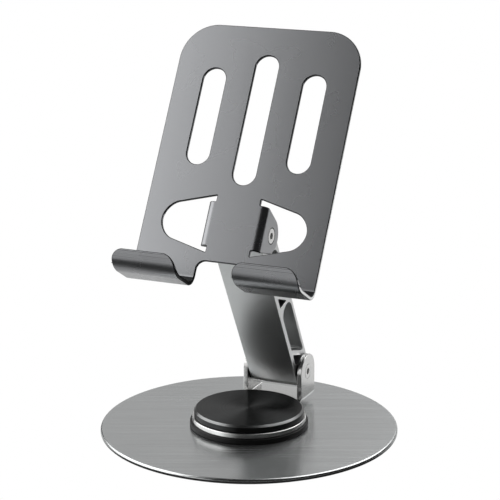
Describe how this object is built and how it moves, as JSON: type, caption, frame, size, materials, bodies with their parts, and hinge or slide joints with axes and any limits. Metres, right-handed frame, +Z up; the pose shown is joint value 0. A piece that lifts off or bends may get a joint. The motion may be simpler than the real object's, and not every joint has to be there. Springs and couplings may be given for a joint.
{
  "type": "tablet stand",
  "caption": "Folding desk stand: round base with a turntable, a hollow arm between two hinges, and a slotted sheet cradle with two hooks.",
  "frame": {"origin": "centre of the base pad's underside, on the turntable's axis, at desk level", "axes": "+Z up along the turntable's axis, +X along both hinges, and the stand faces -Y"},
  "size_m": [0.12, 0.12, 0.1604],
  "materials": {
    "brushed_steel": "brushed, satin",
    "polished_steel": "satin nickel plated",
    "gunmetal": "anodised gunmetal grey, satin",
    "arm_aluminium": "anodised grey, satin",
    "black_anodised": "black anodised, face-turned in fine rings",
    "black_plastic": "matt black",
    "black_rubber": "matt black",
    "natural_plastic": "natural white",
    "tape_black": "matt black"
  },
  "bodies": {
    "base": {"base_pad": "black_rubber", "base_plate": "brushed_steel", "pivot_post": "polished_steel", "slip_ring": "black_plastic", "pivot_nut": "polished_steel"},
    "turntable": {"turntable_bracket": "polished_steel", "wave_washer": "polished_steel", "cap_tape": "tape_black", "hub_cap": "black_anodised", "lower_hinge_sleeve": "polished_steel", "lower_hinge_screw": "polished_steel"},
    "arm": {"arm": "arm_aluminium", "lower_bush": "natural_plastic", "lower_washer_right": "black_plastic", "lower_washer_left": "black_plastic", "upper_bush": "natural_plastic", "upper_washer_right": "black_plastic", "upper_washer_left": "black_plastic"},
    "cradle": {"cradle": "gunmetal", "upper_hinge_sleeve": "polished_steel", "upper_hinge_screw": "polished_steel"}
  },
  "joints": [
    {"name": "swivel", "type": "hinge", "parent": "base", "child": "turntable", "pos_m": [0, 0, 0.00305], "axis": [0, 0, 1], "continuous": true},
    {"name": "lower_hinge", "type": "hinge", "parent": "turntable", "child": "arm", "pos_m": [0, 0.0312, 0.01755], "axis": [1, 0, 0], "range_deg": [-30, 42]},
    {"name": "upper_hinge", "type": "hinge", "parent": "arm", "child": "cradle", "pos_m": [0, -0.00683, 0.0845], "axis": [1, 0, 0], "range_deg": [-120, 64]}
  ]
}
